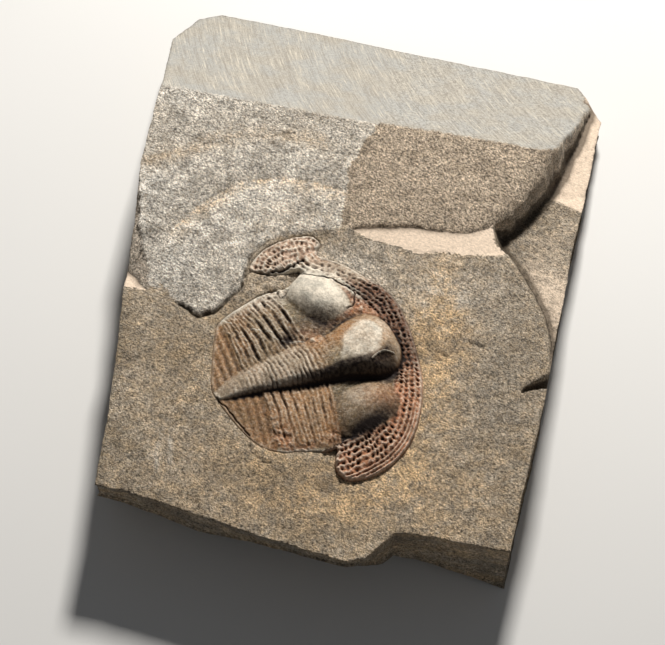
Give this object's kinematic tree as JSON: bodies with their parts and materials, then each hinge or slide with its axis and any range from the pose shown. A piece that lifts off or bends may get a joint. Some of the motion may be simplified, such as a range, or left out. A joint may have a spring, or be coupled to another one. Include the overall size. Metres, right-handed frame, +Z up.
{
  "type": "trilobite fossil",
  "caption": "Trilobite with a pitted head fringe, domed cheeks and a ribbed thorax, set in a hand-sized slab of silty rock with broken beds and one sawn bevel, lying on its flat back",
  "frame": {"origin": "Under the middle of the slab, on the surface that it lies on.", "axes": "+X to the right of the fossil face, +Y along the slab towards the sawn bevel, +Z up out of the fossil face."},
  "size_m": [0.0666, 0.092, 0.0196],
  "materials": {
    "rock": "rough, fine-grained siltstone, ochre-grey with paler fresh breaks",
    "fossil": "rust-brown to grey mineralised shell, slightly worn on the high parts"
  },
  "bodies": {
    "root": {"matrix": "rock", "trilobite": "fossil"}
  },
  "joints": []
}
